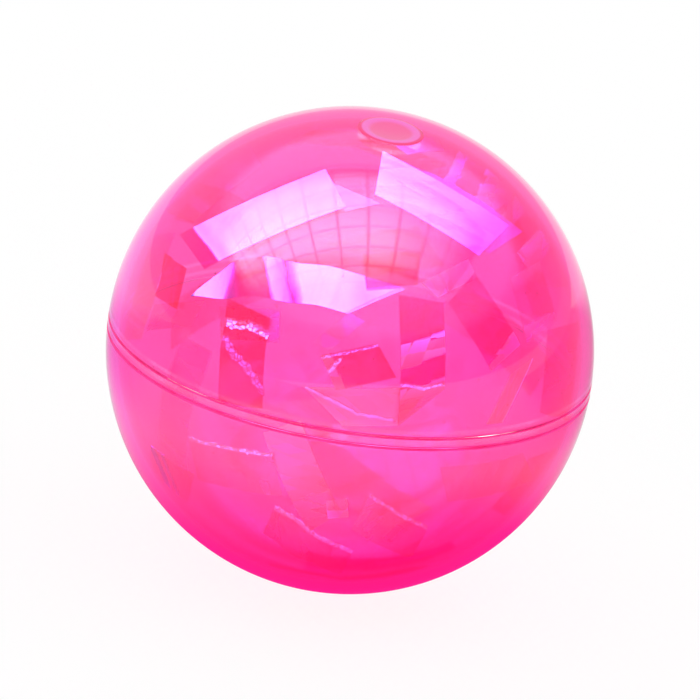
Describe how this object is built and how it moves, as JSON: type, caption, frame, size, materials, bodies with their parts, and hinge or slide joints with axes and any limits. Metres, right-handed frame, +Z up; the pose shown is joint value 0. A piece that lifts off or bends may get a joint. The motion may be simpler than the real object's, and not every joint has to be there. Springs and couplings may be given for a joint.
{
  "type": "hollow bouncy ball",
  "caption": "See-through pink hollow bouncy ball: two moulded halves with a welded seam, a vent plug on top and loose shiny film strips inside.",
  "frame": {"origin": "centre of the ball", "axes": "+Z up, with the seam in the XY plane and the vent plug within about 4 degrees of +Z; -Y faces the viewer of the picture"},
  "size_m": [0.1, 0.1, 0.0999],
  "materials": {
    "shell": "glossy see-through pink moulded plastic",
    "weld": "glossy see-through weld bead, slightly uneven",
    "plug": "glossy see-through moulded plug",
    "film_lavender": "iridescent film that shines lavender white",
    "film_purple": "iridescent film that shines purple",
    "film_crimson": "iridescent film that shows hot pink"
  },
  "bodies": {
    "shell": {"upper_shell": "shell", "lower_shell": "shell", "seam_weld": "weld", "vent_plug": "plug"},
    "film_fill": {"film_back_band": "film_crimson", "film_back_cross": "film_purple", "film_back_left": "film_purple", "film_back_low": "film_purple", "film_back_middle": "film_purple", "film_back_right": "film_purple", "film_back_top": "film_lavender", "film_bottom_back": "film_crimson", "film_bottom_cross": "film_crimson", "film_bottom_front": "film_crimson", "film_crinkled": "film_crimson", "film_crumpled": "film_crimson", "film_crumpled_under": "film_lavender", "film_curled": "film_crimson", "film_facet_mid": "film_lavender", "film_facet_wide": "film_lavender", "film_left_bright": "film_lavender", "film_left_mid": "film_purple", "film_left_rim": "film_lavender", "film_left_side": "film_crimson", "film_left_under": "film_lavender", "film_low_bit": "film_lavender", "film_low_far_left": "film_purple", "film_low_far_right": "film_crimson", "film_low_front": "film_lavender", "film_low_left": "film_purple", "film_low_long": "film_lavender", "film_low_middle": "film_lavender", "film_low_right": "film_lavender", "film_low_wide": "film_lavender", "film_mid_purple": "film_purple", "film_on_edge": "film_lavender", "film_right_bright": "film_lavender", "film_right_mid": "film_lavender", "film_right_rim": "film_purple", "film_right_side": "film_purple", "film_right_under": "film_purple", "film_slanted": "film_crimson", "film_top_left": "film_lavender", "film_top_patch": "film_purple", "film_top_right": "film_purple", "film_wavy": "film_lavender", "film_wavy_under": "film_crimson"}
  },
  "joints": [
    {"name": "fill_spin", "type": "hinge", "parent": "shell", "child": "film_fill", "pos_m": [0, 0, 0], "axis": [0, 0, 1], "continuous": true}
  ]
}
